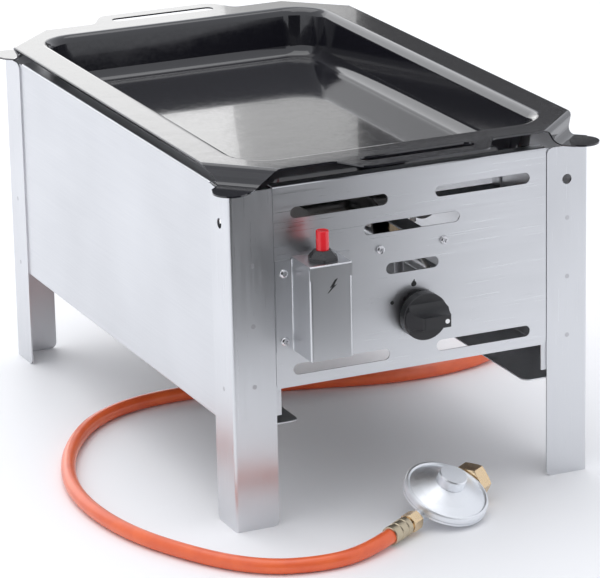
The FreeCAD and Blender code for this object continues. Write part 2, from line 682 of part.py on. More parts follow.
def valve_plug():
    """The taper plug: slotted for the tongue, drilled for the push rod and ported for the gas."""
    plug = cone((0, PLUG_Y0, AXIS_Z), (0, 1, 0), PLUG_R0, PLUG_R1, PLUG_Y1 - PLUG_Y0)
    tools = [
        box(-5.4, 5.4, PLUG_Y0 - 1, -239.6, AXIS_Z - 1.35, AXIS_Z + 1.35),
        rod((0, PLUG_Y0 - 1, AXIS_Z), (0, 1, 0), 1.5, 40),
        rod((2, -231, AXIS_Z), (1, 0, 0), 2.2, 12),
        rod((0, -231, AXIS_Z - 12), (0, 0, 1), 1.2, 12),
    ]
    return cut(plug, tools)


def push_rod():
    """The pin between the spindle's tongue and the flame-failure magnet."""
    pin = rod((0, -244.2, AXIS_Z), (0, 1, 0), 1.2, 28.5)
    return fuse([pin, rod((0, -217.3, AXIS_Z), (0, 1, 0), 2.6, 1.6)])


def coil(start, direction, radius, wire_r, length, turns):
    """A compression spring whose helix runs between start and start + length."""
    helix = Part.makeHelix(length / turns, length, radius)
    ring = Part.Wire(Part.makeCircle(wire_r, V(radius, 0, 0), V(0, 1, 0)))
    solid = Part.Wire(helix).makePipeShell([ring], True, True)
    solid.Placement = FreeCAD.Placement(V(*start), FreeCAD.Rotation(V(0, 0, 1), V(*direction)))
    return solid


def valve_spring():
    return coil((0, -259.4, AXIS_Z), (0, 1, 0), 7.0, 0.6, 9.6, 3.5)


def magnet_unit():
    """The flame-failure magnet in its capsule, with the thermocouple's socket at its back."""
    body = rod((0, MAGNET_Y0, AXIS_Z), (0, 1, 0), 7.0, 16)
    nose = rod((0, MAGNET_Y0 - 1.5, AXIS_Z), (0, 1, 0), 3.4, 1.5)
    back = hexagon((0, MAGNET_Y0 + 16, AXIS_Z), (0, 1, 0), 11, 5)
    socket = rod((0, MAGNET_Y0 + 21, AXIS_Z), (0, 1, 0), 4.0, 5)
    return fuse([body, nose, back, socket])


def feed_tube():
    """The short pipe from the tap's outlet up to the injector holder."""
    return tube((0, FEED_Y, AXIS_Z + 20), (0, 0, 1), 4.0, 3.0, BURNER_Z - 7 - AXIS_Z - 20)


def injector_holder():
    block = hexagon((0, FEED_Y, BURNER_Z - 7), (0, 0, 1), 15, 15.5)
    tools = [
        rod((0, FEED_Y, BURNER_Z - 8), (0, 0, 1), 3.0, 10),
        rod((0, FEED_Y, BURNER_Z), (0, 1, 0), 2.0, 12),
    ]
    return cut(block, tools)


def injector():
    """The brass jet that blows into the mixing tube's mouth."""
    y = FEED_Y + 7.5
    body = fuse([
        hexagon((0, y, BURNER_Z), (0, 1, 0), 9, 4),
        cone((0, y + 4, BURNER_Z), (0, 1, 0), 3.6, 2.4, 6),
    ])
    return body.cut(rod((0, y - 1, BURNER_Z), (0, 1, 0), 0.5, 14))


# ---- knob ---------------------------------------------------------------------------------------
KNOB_R = 21.0
KNOB_BACK = FRONT_FACE - 5.2
KNOB_FACE = KNOB_BACK - 9.0
KNOB_FRONT = KNOB_BACK - 28.0


def control_knob():
    """A round disc with a grip bar across it, marked at the end that points to the right when the gas is off."""
    depth = KNOB_BACK - KNOB_FACE
    skirt = revolve(
        [(0, 0), (KNOB_R, 0), (KNOB_R, depth - 0.7), (KNOB_R - 0.7, depth), (0, depth)],
        (0, KNOB_BACK, AXIS_Z), (0, -1, 0),
    )
    root, crest = 12.5, 5.4
    run = KNOB_FACE - KNOB_FRONT
    foot, base = (-root, KNOB_FACE + 2), (-root, KNOB_FACE)
    scoop_mid = (-crest - 1.7, KNOB_FACE - run * 0.40)
    tip = (-crest, KNOB_FRONT)

    def at(p):
        return V(-30, p[1], AXIS_Z + p[0])

    def flip(p):
        return (-p[0], p[1])

    profile = [
        Part.LineSegment(at(foot), at(base)).toShape(),
        Part.Arc(at(base), at(scoop_mid), at(tip)).toShape(),
        Part.LineSegment(at(tip), at(flip(tip))).toShape(),
        Part.Arc(at(flip(tip)), at(flip(scoop_mid)), at(flip(base))).toShape(),
        Part.LineSegment(at(flip(base)), at(flip(foot))).toShape(),
        Part.LineSegment(at(flip(foot)), at(foot)).toShape(),
    ]
    bar = Part.Face(Part.Wire(profile)).extrude(V(70, 0, 0))
    plan = outline_face(
        [(-KNOB_R + 1.2, KNOB_BACK - 3), (-KNOB_R + 1.2, KNOB_FACE - 1), (-11.0, KNOB_FRONT), (14.5, KNOB_FRONT),
         (KNOB_R - 1.2, KNOB_FACE - 1), (KNOB_R - 1.2, KNOB_BACK - 3)],
        [1.0, 3.0, 2.5, 1.5, 1.0, 1.0], lambda p: V(p[0], p[1], AXIS_Z - 30),
    ).extrude(V(0, 0, 60))
    round_plan = rod((0, KNOB_BACK, AXIS_Z), (0, -1, 0), KNOB_R - 0.8, 60)
    solid = fuse([skirt, bar.common(plan).common(round_plan)])
    hollow = tube((0, KNOB_BACK + 1, AXIS_Z), (0, -1, 0), KNOB_R - 2.2, 8.6, 6.2)
    socket = rod((0, KNOB_BACK + 1, AXIS_Z), (0, -1, 0), 4.05, 291.3 + KNOB_BACK + 1)
    socket = socket.cut(box(-6, 6, -295, KNOB_BACK - 3, AXIS_Z + 3.05, AXIS_Z + 8))
    clip_room = box(-3.1, 3.1, -289.5, -276.4, AXIS_Z - 5.5, AXIS_Z - 3.5)
    return cut(solid, [hollow, socket, clip_room])


def knob_clip():
    """The leaf spring that grips the spindle in the knob's socket."""
    return box(-2.8, 2.8, -289.0, -276.8, AXIS_Z - 5.2, AXIS_Z - 4.35)


# ---- ignition -----------------------------------------------------------------------------------
def igniter_box():
    """A hat-shaped sheet cover on the front panel, closed at the top and open below."""
    t = PANEL_T
    mid = t / 2
    back, front = FRONT_FACE - mid, -REACH + mid
    section = sheet_face(
        [(BOX_X0 - 15.5, back), (BOX_X0 + mid, back), (BOX_X0 + mid, front), (BOX_X1 - mid, front),
         (BOX_X1 - mid, back), (BOX_X1 + 15.5, back)],
        t, [BEND_R + mid] * 4, lambda p: V(p[0], p[1], BOX_Z0),
    )
    hat = section.extrude(V(0, 0, BOX_Z1 - BOX_Z0 - mid))
    trim = [box(x0, x1, -REACH - 5, FRONT_FACE + 5, BOX_Z1 - 2.5, BOX_Z1 + 5)
            for x0, x1 in ((BOX_X0 - 20, BOX_X0), (BOX_X1, BOX_X1 + 20))]
    hat = cut(hat, trim)
    lid = sheet_face(
        [(front, BOX_Z1 - 12), (front, BOX_Z1 - mid), (FRONT_FACE - 0.3, BOX_Z1 - mid)],
        t, [BEND_R + mid], lambda p: V(BOX_X0 + 0.05, p[0], p[1]),
    ).extrude(V(BOX_X1 - BOX_X0 - 0.1, 0, 0))
    hat = hat.cut(box(BOX_X0 + 0.05, BOX_X1 - 0.05, -REACH - 1, FRONT_FACE, BOX_Z1 - 3, BOX_Z1 + 1))
    solid = fuse([hat, lid])
    y = FRONT_FACE - 5
    tools = [rod((x, y, z), (0, 1, 0), 2.15, 8) for x, z in BOX_SCREWS]
    tools.append(rod((IGN_X, IGN_Y, BOX_Z1 - 3), (0, 0, 1), 8.3, 6))
    return cut(solid, tools)


def igniter_box_screws():
    return Part.makeCompound([
        pan_head_screw((x, FRONT_FACE - PANEL_T, z), (0, -1, 0), 2.1, 7.0, 3.9, 2.4) for x, z in BOX_SCREWS
    ])


def igniter_body():
    """The piezo generator's housing: a stepped tube with a threaded neck, a shoulder and a terminal."""
    z_top = BOX_Z1 + 4.5
    shell = fuse([
        rod((IGN_X, IGN_Y, 190), (0, 0, 1), 8.8, 10),
        rod((IGN_X, IGN_Y, 200), (0, 0, 1), 9.6, BOX_Z1 - PANEL_T - 200),
        rod((IGN_X, IGN_Y, BOX_Z1 - PANEL_T), (0, 0, 1), 8.2, z_top - BOX_Z1 + PANEL_T),
    ])
    bore = rod((IGN_X, IGN_Y, 204), (0, 0, 1), 6.2, z_top)
    terminal = rod((IGN_X, IGN_Y + 8, LEAD_HOLE_Z + 8), (0, 1, 0), 2.2, 3.0)
    return fuse([shell.cut(bore), terminal])


def igniter_bezel():
    """The hexagonal nut with a faceted hood that holds the igniter in the box's lid."""
    z0 = BOX_Z1
    ring = hexagon((IGN_X, IGN_Y, z0), (0, 0, 1), 24.0, 2.6, 12).common(rod((IGN_X, IGN_Y, z0), (0, 0, 1), 13.4, 5))

    def hexagon_wire(flats, z):
        radius = flats / math.sqrt(3)
        return Part.makePolygon([
            V(IGN_X + radius * math.cos(math.radians(60 * i + 12)), IGN_Y + radius * math.sin(math.radians(60 * i + 12)), z)
            for i in range(7)
        ])

    hood = Part.makeLoft([hexagon_wire(22.6, z0 + 2.6), hexagon_wire(13.6, z0 + 8.6)], True, True)
    return cut(fuse([ring, hood]), [
        rod((IGN_X, IGN_Y, z0 - 1), (0, 0, 1), 8.25, 5.6),
        rod((IGN_X, IGN_Y, z0), (0, 0, 1), 5.95, 20),
    ])


BUTTON_TRAVEL = 8.0
BUTTON_TOP = 266.0


def igniter_button():
    """The push button, with a collar inside the igniter's body that keeps it captive."""
    stem = rod((IGN_X, IGN_Y, 224.0), (0, 0, 1), 5.6, BUTTON_TOP - 224.0)
    rim = stem.Edges[0]
    for edge in stem.Edges:
        if edge.BoundBox.ZMin > BUTTON_TOP - 0.01:
            rim = edge
    stem = stem.makeFillet(0.8, [rim])
    dish = Part.makeSphere(14.0, V(IGN_X, IGN_Y, BUTTON_TOP + 13.4))
    return fuse([stem.cut(dish), rod((IGN_X, IGN_Y, 224.0), (0, 0, 1), 6.1, 19.8)])


def igniter_spring():
    return coil((IGN_X, IGN_Y, 205.0), (0, 0, 1), 4.6, 0.5, 18.2, 6)


def ignition_bracket():
    """The angle on the front rail that holds the electrode and the thermocouple beside the flame."""
    y = RAILS[0] + 12.0
    wall = box(28, 104, y, y + 1.2, RAIL_TOP - 14, RAIL_TOP - 2)
    shelf = box(28, 104, y, y + 18, RAIL_TOP - 14, RAIL_TOP - 12.8)
    tools = [
        rod((PROBE_X, PROBE_Y, RAIL_TOP - 16), (0, 0, 1), 3.0, 6),
        rod((SPARK_X, PROBE_Y, RAIL_TOP - 16), (0, 0, 1), 3.3, 6),
        box(56.0, 68.0, y + 6, y + 20, RAIL_TOP - 15, RAIL_TOP - 12),
    ]
    return cut(fuse([wall, shelf]), tools)


def thermocouple_probe():
    z = RAIL_TOP - 12.8
    tip = rod((PROBE_X, PROBE_Y, z - 9), (0, 0, 1), 2.4, 52)
    collar = rod((PROBE_X, PROBE_Y, z), (0, 0, 1), 4.2, 2.2)
    nut = hexagon((PROBE_X, PROBE_Y, z - 4.4), (0, 0, 1), 8, 3.0)
    dome = Part.makeSphere(2.4, V(PROBE_X, PROBE_Y, z + 43))
    return fuse([tip, collar, nut, dome])


def thermocouple_lead():
    """The capillary from the probe to the magnet unit, with the union nut at its end."""
    z = RAIL_TOP - 12.8 - 9
    route = [
        (PROBE_X, PROBE_Y, z), (PROBE_X, PROBE_Y, z - 12), (PROBE_X - 5, PROBE_Y - 14, z - 22),
        (AXIS_X + 12, PROBE_Y - 48, AXIS_Z - 4), (AXIS_X + 0.5, MAGNET_Y1 + 24, AXIS_Z), (AXIS_X, MAGNET_Y1 + 9, AXIS_Z),
    ]
    wire = swept(route, 1.1, 0.4)[0]
    nut = hexagon((AXIS_X, MAGNET_Y1, AXIS_Z), (0, 1, 0), 8, 9)
    return fuse([wire, nut])


def electrode_insulator():
    z = RAIL_TOP - 12.8
    points = [(3.1, -16), (3.1, 0), (4.6, 0), (4.6, 4), (3.1, 6), (3.1, 22), (1.3, 26), (1.3, -16)]
    return revolve(points, (SPARK_X, PROBE_Y, z), (0, 0, 1))


def spark_electrode():
    """The wire tip in the insulator, bent over towards the flame ports."""
    z = RAIL_TOP - 12.8
    route = [
        (SPARK_X, PROBE_Y, z - 20), (SPARK_X, PROBE_Y, z + 40), (SPARK_X - 10, PROBE_Y, z + 44),
    ]
    return swept(route, 1.2, 0.3)[0]


def spark_lead():
    """The high-tension lead from the igniter's terminal, through the front panel, to the electrode."""
    z = RAIL_TOP - 12.8
    y0 = IGN_Y + 11
    route = [
        (IGN_X, y0, LEAD_HOLE_Z + 8), (IGN_X, y0 + 6.5, LEAD_HOLE_Z + 8), (IGN_X, y0 + 10, LEAD_HOLE_Z),
        (IGN_X, y0 + 24, LEAD_HOLE_Z), (-72, -232, 168), (-20, -214, 151), (48, -196, 149), (80, -150, 160),
        (SPARK_X, PROBE_Y - 8, z - 42), (SPARK_X, PROBE_Y, z - 20.8),
    ]
    return swept(route, 1.8, 0.4)[0]


# ---- gas supply ---------------------------------------------------------------------------------
ELBOW_Y = REACH - 10.0


def inlet_elbow():
    """A brass elbow through the back panel, with its outlet stub to the right for the hose."""
    block = box(INLET_X - 10, INLET_X + 10, ELBOW_Y - 10, ELBOW_Y + 10, INLET_Z - 10, INLET_Z + 10)
    block = block.makeFillet(3.0, block.Edges)
    stem = rod((INLET_X, 252, INLET_Z), (0, 1, 0), 7.0, ELBOW_Y - 252)
    shoulder = hexagon((INLET_X, LEG_FACE - LEG_T + PANEL_T, INLET_Z), (0, 1, 0), 22, 7)
    stub = rod((INLET_X, ELBOW_Y, INLET_Z), (1, 0, 0), 6.5, 144.5 - INLET_X)
    tail = rod((INLET_X, ELBOW_Y, INLET_Z), (1, 0, 0), 4.5, 153 - INLET_X)
    tools = [
        rod((INLET_X, 250, INLET_Z), (0, 1, 0), 4.05, 12),
        rod((INLET_X, 255, INLET_Z), (0, 1, 0), 3.0, ELBOW_Y - 255),
        rod((INLET_X - 3, ELBOW_Y, INLET_Z), (1, 0, 0), 3.0, 60),
    ]
    return cut(fuse([block, stem, shoulder, stub, tail]), tools)


def inlet_locknut():
    return hex_nut((INLET_X, LEG_FACE - LEG_T - 6.0, INLET_Z), (0, 1, 0), 22, 7.05, 6.0)


def gas_supply_tube():
    """The steel pipe from the inlet elbow along the right-hand side to the tap."""
    route = [
        (INLET_X, 254, INLET_Z), (INLET_X, -184, INLET_Z), (94, -224, 164), (AXIS_X + 62, -238, AXIS_Z),
        (AXIS_X + 22.2, -238, AXIS_Z),
    ]
    return swept(route, 4.0, 0.42, bore=3.0)[0]


def supply_nuts():
    """Compression nuts at the two ends of the supply pipe."""
    return Part.makeCompound([
        hex_nut((INLET_X, 237, INLET_Z), (0, 1, 0), 14, 4.05, 15),
        hex_nut((AXIS_X + 22.2, -238, AXIS_Z), (1, 0, 0), 14, 4.05, 14),
    ])


# ---- hose and its ends --------------------------------------------------------------------------
def hose():
    made, radii, length = swept(HOSE_ROUTE, HOSE_R)
    ideal = math.pi * HOSE_R ** 2 * length
    print("hose: length %.0f, smallest radius %.0f, volume / ideal %.4f" % (
        length, min(radii), made.Volume / ideal))
    print("hose radii:", [round(r) for r in radii])
    return made


def ferrule(end, away):
    """A crimped sleeve that starts at end, where the hose ends, and runs on in the direction away."""
    points = [(FERRULE_R - 0.6, 0), (FERRULE_R, 0.6), (FERRULE_R, 6), (FERRULE_R - 0.5, 6.6),
              (FERRULE_R - 0.5, 9.4), (FERRULE_R, 10), (FERRULE_R, 15), (FERRULE_R - 0.5, 15.6),
              (FERRULE_R - 0.5, 18.4), (FERRULE_R, 19), (FERRULE_R, 24.4), (FERRULE_R - 0.8, 25.2),
              (4.55, 25.2), (4.55, 8), (0, 8), (0, 0)]
    return revolve(points, end, away)


def hose_nut(start, away, inner, flats, turn):
    """A swivel nut with a round collar on the ferrule's side."""
    axis = V(*away)
    foot = V(*start)
    nut = fuse([
        hex_nut(foot + axis * 1.8, axis, flats, 4.55, 12.5, turn),
        tube(foot, axis, 6.6, 4.55, 2.0),
    ])
    nut = nut.cut(rod(foot + axis * 3.6, axis, inner, 12))
    return nut


def inlet_fittings():
    """The ferrule and the nut at the hose's inlet end, both on the elbow's axis."""
    end = V(*HOSE_ROUTE[0])
    back = V(-1, 0, 0)
    sleeve = ferrule(end, back)
    nut = hose_nut(end + back * 25.6, back, 6.55, 15.5, 0.0)
    return sleeve, nut


# ---- regulator ----------------------------------------------------------------------------------
REG_CLIMB = math.degrees(math.atan(0.0637))
OUT_END = -82.3          # hose end, along the regulator's own axis
OUT_TURN = -12.6         # how the hose nut is turned about it
NUT_START = 38.0         # start of the bottle nut
NUT_LENGTH = 14.0
NUT_SEAT = 5.4           # where its thread begins


def reg_place():
    """From the regulator's own frame (x along its in-out axis, z out of its cover) to the row's."""
    yaw = FreeCAD.Rotation(V(0, 0, 1), REG_HEADING)
    climb = FreeCAD.Rotation(V(0, 1, 0), -REG_CLIMB)
    roll = FreeCAD.Rotation(V(1, 0, 0), REG_ROLL)
    return FreeCAD.Placement(REG_CENTRE, yaw.multiply(climb).multiply(roll))


def placed(shape):
    moved = shape.copy()
    moved.Placement = reg_place().multiply(moved.Placement)
    return moved


def regulator_body():
    """The cast lower half: bowl, rim, threaded outlet stub and the inlet stem that carries the nut."""
    bowl = revolve(
        [(0, -11.2), (9, -11.2), (15, -8.5), (24, -3.5), (31, 2.2), (REG_R - 1.4, 3.4), (REG_R + 0.9, 4.4),
         (REG_R + 0.9, 6.5), (REG_R, 6.5), (REG_R, 8.6), (0, 8.6)],
        (0, 0, 0), (0, 0, 1),
    )
    outlet = rod((-20, 0, 0), (-1, 0, 0), 6.4, 25.0)
    inlet = rod((20, 0, 0), (1, 0, 0), 6.4, NUT_START - 21.0)
    stem = rod((NUT_START - 2.0, 0, 0), (1, 0, 0), 6.2, 5.6)
    flange = rod((NUT_START + 3.2, 0, 0), (1, 0, 0), 8.8, 2.0)
    solid = fuse([bowl, outlet, inlet, stem, flange])
    chamber = rod((0, 0, 1.0), (0, 0, 1), 25.0, 10.0)
    seat = rod((0, 0, -3.0), (0, 0, 1), 8.0, 5.0)
    ways = [
        rod((NUT_START + 14, 0, 0), (-1, 0, 0), 2.2, NUT_START + 10),
        rod((-46, 0, 0), (1, 0, 0), 3.0, 40),
    ]
    return placed(cut(solid, [chamber, seat] + ways))


def regulator_cover():
    """The pressed cover: a shallow cone with a rolled edge around the body's rim."""
    outer = [(REG_R + 0.6, 6.6), (REG_R + 0.9, 7.2), (REG_R + 0.9, 11.4), (REG_R + 0.2, 12.8), (REG_R - 1.4, 13.2),
             (REG_R - 2.8, 11.9), (33.4, 12.0), (26.0, 15.0), (17.0, 19.4), (13.0, 21.1)]
    inner = [(11.2, 21.1), (11.2, 19.8), (17.0, 17.8), (26.0, 13.4), (31.0, 10.9), (REG_R - 2.0, 10.3),
             (REG_R + 0.05, 10.2), (REG_R + 0.05, 6.6)]
    return placed(revolve(outer + inner, (0, 0, 0), (0, 0, 1)))


def regulator_cap():
    """The closed adjusting cap in the middle of the cover."""
    cap = revolve(
        [(0, 18.2), (11.1, 18.2), (11.1, 21.2), (12.6, 21.2), (12.6, 29.6), (11.7, 30.8), (0, 30.8)],
        (0, 0, 0), (0, 0, 1),
    )
    return placed(cap)


def regulator_diaphragm():
    """The rubber disc clamped between the body and the cover."""
    disc = revolve(
        [(0, 8.9), (12, 8.9), (26, 8.7), (REG_R - 0.8, 8.65), (REG_R - 0.8, 9.8), (26, 9.9), (12, 10.3), (0, 10.3)],
        (0, 0, 0), (0, 0, 1),
    )
    return placed(disc)


def bottle_nut():
    """The brass union nut that turns on the inlet stem and screws on to the gas bottle."""
    axis = V(1, 0, 0)
    nut = hex_nut((NUT_START, 0, 0), axis, 30, 6.5, NUT_LENGTH, 5.4)
    room = rod((NUT_START + 3.0, 0, 0), axis, 9.2, 3.4)
    return placed(cut(nut, [room, rod((NUT_START + NUT_SEAT, 0, 0), axis, 10.6, 30)]))


def outlet_fittings():
    """The ferrule and the nut at the hose's regulator end."""
    sleeve = ferrule((OUT_END, 0, 0), (1, 0, 0))
    nut = hose_nut((OUT_END + 25.6, 0, 0), (1, 0, 0), 6.55, 15.5, OUT_TURN)
    nipple = rod((OUT_END + 25.4, 0, 0), (1, 0, 0), 4.4, 11.8).cut(rod((OUT_END + 20, 0, 0), (1, 0, 0), 2.6, 20))
    return placed(sleeve), placed(nut), placed(nipple)


# ---- everything ---------------------------------------------------------------------------------
def nodes():
    inlet_sleeve, inlet_nut = inlet_fittings()
    outlet_sleeve, outlet_nut, outlet_nipple = outlet_fittings()
    return {
        "front_panel": front_panel(),
        "back_panel": back_panel(),
        "left_side_panel": side_panel(-1),
        "right_side_panel": side_panel(1),
        "leg_front_left": leg(0),
        "leg_front_right": leg(1),
        "leg_rear_right": leg(2),
        "leg_rear_left": leg(3),
        "griddle_pan": griddle_pan(),
        "burner_tube_left": burner_tube(-1),
        "burner_tube_right": burner_tube(1),
        "burner_end_caps": burner_end_caps(),
        "burner_manifold": burner_manifold(),
        "mixing_tube": on_axis(mixing_tube()),
        "burner_rail_front": burner_rail(RAILS[0]),
        "burner_rail_rear": burner_rail(RAILS[1]),
        "burner_clamps": burner_clamps(),
        "clamp_screws": clamp_screws(),
        "valve_bracket": valve_bracket(),
        "bracket_screws": bracket_screws(),
        "valve_body": on_axis(valve_body()),
        "valve_bonnet": on_axis(valve_bonnet()),
        "valve_screws": on_axis(valve_screws()),
        "valve_spindle": on_axis(valve_spindle()),
        "valve_plug": on_axis(valve_plug()),
        "push_rod": on_axis(push_rod()),
        "valve_spring": on_axis(valve_spring()),
        "magnet_unit": on_axis(magnet_unit()),
        "feed_tube": on_axis(feed_tube()),
        "injector_holder": on_axis(injector_holder()),
        "injector": on_axis(injector()),
        "control_knob": on_axis(control_knob()),
        "knob_clip": on_axis(knob_clip()),
        "igniter_box": igniter_box(),
        "igniter_box_screws": igniter_box_screws(),
        "igniter_body": igniter_body(),
        "igniter_bezel": igniter_bezel(),
        "igniter_button": igniter_button(),
        "igniter_spring": igniter_spring(),
        "ignition_bracket": ignition_bracket(),
        "thermocouple_probe": thermocouple_probe(),
        "thermocouple_lead": thermocouple_lead(),
        "electrode_insulator": electrode_insulator(),
        "spark_electrode": spark_electrode(),
        "spark_lead": spark_lead(),
        "inlet_elbow": inlet_elbow(),
        "inlet_locknut": inlet_locknut(),
        "gas_supply_tube": gas_supply_tube(),
        "supply_nuts": supply_nuts(),
        "gas_hose": hose(),
        "hose_inlet_ferrule": inlet_sleeve,
        "hose_inlet_nut": inlet_nut,
        "hose_outlet_ferrule": outlet_sleeve,
        "hose_outlet_nut": outlet_nut,
        "hose_outlet_nipple": outlet_nipple,
        "regulator_body": regulator_body(),
        "regulator_cover": regulator_cover(),
        "regulator_cap": regulator_cap(),
        "regulator_diaphragm": regulator_diaphragm(),
        "bottle_nut": bottle_nut(),
    }


def main():
    os.makedirs("parts", exist_ok=True)
    for name, shape in nodes().items():
        if not shape.isValid():
            print("not valid:", name)
        print("%-22s solids %d  volume %.0f mm3" % (name, len(shape.Solids), shape.Volume))
        shape.exportStep("parts/%s.step" % name)
    axis = reg_place().Rotation.multVec(V(1, 0, 0))
    mouth = reg_place().multVec(V(NUT_START + NUT_LENGTH, 0, 0))
    print("bottle nut: mouth", mouth, "axis", axis)


main()
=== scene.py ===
"""The looks of the gas griddle burner, built around its CAD frame.

Metres, +X right, +Y to the back, +Z up, with the origin on the floor under the middle of the housing.
"""
import json
import math

import bpy
from mathutils import Matrix, Vector


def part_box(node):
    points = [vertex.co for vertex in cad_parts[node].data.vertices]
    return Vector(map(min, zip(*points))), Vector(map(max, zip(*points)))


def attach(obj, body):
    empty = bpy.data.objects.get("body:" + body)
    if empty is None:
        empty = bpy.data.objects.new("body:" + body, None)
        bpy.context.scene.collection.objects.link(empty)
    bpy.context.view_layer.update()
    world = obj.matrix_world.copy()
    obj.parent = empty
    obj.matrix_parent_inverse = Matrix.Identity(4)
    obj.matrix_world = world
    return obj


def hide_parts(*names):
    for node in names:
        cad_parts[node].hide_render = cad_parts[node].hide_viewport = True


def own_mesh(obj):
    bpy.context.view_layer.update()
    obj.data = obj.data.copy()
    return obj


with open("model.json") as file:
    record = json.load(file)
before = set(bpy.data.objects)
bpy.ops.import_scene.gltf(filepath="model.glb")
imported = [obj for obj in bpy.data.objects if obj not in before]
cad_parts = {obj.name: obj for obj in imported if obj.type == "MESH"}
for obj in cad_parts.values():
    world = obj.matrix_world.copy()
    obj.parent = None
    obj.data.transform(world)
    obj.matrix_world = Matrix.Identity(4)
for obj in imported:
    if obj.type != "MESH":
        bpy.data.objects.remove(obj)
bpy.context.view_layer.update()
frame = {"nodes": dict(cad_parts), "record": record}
nodes = frame["nodes"]
scene = bpy.context.scene

MM = 0.001

# ---- camera -------------------------------------------------------------------------------------
CAMERA_AT = (-1.31075, -2.96251, 1.15740)
YAW, PITCH, ROLL = 24.103, 17.801, -1.191
LENS = 219.85

# ---- the hose's route: its spline's control points, from the inlet to the regulator -------------
HOSE_RADIUS = 0.00665
HOSE_ROUTE = [
    (0.1810, 0.2975, 0.1500),
    (0.2230, 0.2975, 0.1500),
    (0.2680, 0.2800, 0.1400),
    (0.3000, 0.2380, 0.1160),
    (0.3000, 0.1620, 0.0600),
    (0.2900, 0.0880, 0.0170),
    (0.2340, 0.0280, 0.0067),
    (0.1340, 0.0130, 0.0067),
    (0.0280, 0.0450, 0.0067),
    (-0.0820, 0.0730, 0.0067),
    (-0.1720, 0.0500, 0.0067),
    (-0.2340, -0.0300, 0.0067),
    (-0.2680, -0.1300, 0.0067),
    (-0.2620, -0.2360, 0.0067),
    (-0.2240, -0.3220, 0.0067),
    (-0.1860, -0.3670, 0.0067),
    (-0.1410, -0.3810, 0.0067),
    (-0.0994, -0.3762, 0.0069),
    (-0.06693, -0.35724, 0.00927),
]


# ---- material helpers ---------------------------------------------------------------------------
def new_material(name, base, metallic=0.0, roughness=0.5, **sockets):
    """A Principled material whose plain numbers sit on the shader's own sockets."""
    material = bpy.data.materials.new(name)
    material.use_nodes = True
    shader = material.node_tree.nodes["Principled BSDF"]
    shader.inputs["Base Color"].default_value = (*base, 1.0)
    shader.inputs["Metallic"].default_value = metallic
    shader.inputs["Roughness"].default_value = roughness
    for key, value in sockets.items():
        shader.inputs[key.replace("_", " ")].default_value = value
    material.diffuse_color = (*base, 1.0)
    return material


def add(material, kind, **values):
    node = material.node_tree.nodes.new(kind)
    for key, value in values.items():
        setattr(node, key, value)
    return node


def link(material, a, out, b, into):
    material.node_tree.links.new(a.outputs[out], b.inputs[into])


def noise(material, scale, stretch=(1, 1, 1), detail=3.0, roughness=0.55):
    """Noise in object coordinates, squeezed along each axis by stretch."""
    coords = add(material, "ShaderNodeTexCoord")
    mapping = add(material, "ShaderNodeMapping")
    mapping.inputs["Scale"].default_value = stretch
    texture = add(material, "ShaderNodeTexNoise")
    texture.inputs["Scale"].default_value = scale
    texture.inputs["Detail"].default_value = detail
    texture.inputs["Roughness"].default_value = roughness
    link(material, coords, "Object", mapping, "Vector")
    link(material, mapping, "Vector", texture, "Vector")
    return texture


def ramp(material, texture, low, high):
    """Maps a texture's middle range to low..high."""
    node = add(material, "ShaderNodeMapRange")
    node.inputs["From Min"].default_value = 0.3
    node.inputs["From Max"].default_value = 0.7
    node.inputs["To Min"].default_value = low
    node.inputs["To Max"].default_value = high
    link(material, texture, "Fac", node, "Value")
    return node


def tint(material, texture, dark, light):
    node = add(material, "ShaderNodeMix", data_type="RGBA")
    node.inputs["A"].default_value = (*dark, 1.0)
    node.inputs["B"].default_value = (*light, 1.0)
    link(material, ramp(material, texture, 0.0, 1.0), "Result", node, "Factor")
    shader = material.node_tree.nodes["Principled BSDF"]
    link(material, node, "Result", shader, "Base Color")


def vary_roughness(material, texture, low, high):
    shader = material.node_tree.nodes["Principled BSDF"]
    link(material, ramp(material, texture, low, high), "Result", shader, "Roughness")


def bump(material, texture, strength, distance):
    node = add(material, "ShaderNodeBump")
    node.inputs["Strength"].default_value = strength
    node.inputs["Distance"].default_value = distance
    link(material, texture, "Fac", node, "Height")
    shader = material.node_tree.nodes["Principled BSDF"]
    link(material, node, "Normal", shader, "Normal")


# ---- materials ----------------------------------------------------------------------------------
def brushed(name, base, grain, low, high):
    """Stainless sheet: fine scratches along its grain, and slow variation in brightness."""
    material = new_material(name, base, 1.0, (low + high) / 2, Anisotropic=0.5)
    scratches = noise(material, 900.0, stretch=grain, detail=4.0, roughness=0.7)
    vary_roughness(material, scratches, low, high)
    bump(material, scratches, 0.10, 0.00003)
    cloud = noise(material, 6.0, detail=2.0)
    tint(material, cloud, tuple(c * 0.95 for c in base), tuple(min(1.0, c * 1.04) for c in base))
    return material


def enamel():
    material = new_material("enamel_black", (0.010, 0.010, 0.014), 0.0, 0.09, Coat_Weight=0.6,
                            Coat_Roughness=0.03, Specular_IOR_Level=0.62)
    grain = noise(material, 260.0, detail=2.0)
    waves = noise(material, 34.0, detail=2.0)
    vary_roughness(material, grain, 0.07, 0.14)
    bump(material, waves, 0.12, 0.0012)
    return material


def plain_metal(name, base, roughness, scale=300.0, strength=0.1):
    material = new_material(name, base, 1.0, roughness)
    grain = noise(material, scale)
    vary_roughness(material, grain, roughness * 0.8, min(1.0, roughness * 1.25))
    bump(material, grain, strength, 0.0001)
    return material


def plastic(name, base, roughness, **sockets):
    material = new_material(name, base, 0.0, roughness, **sockets)
    grain = noise(material, 700.0, detail=2.0)
    vary_roughness(material, grain, roughness * 0.85, min(1.0, roughness * 1.2))
    bump(material, grain, 0.08, 0.0001)
    return material


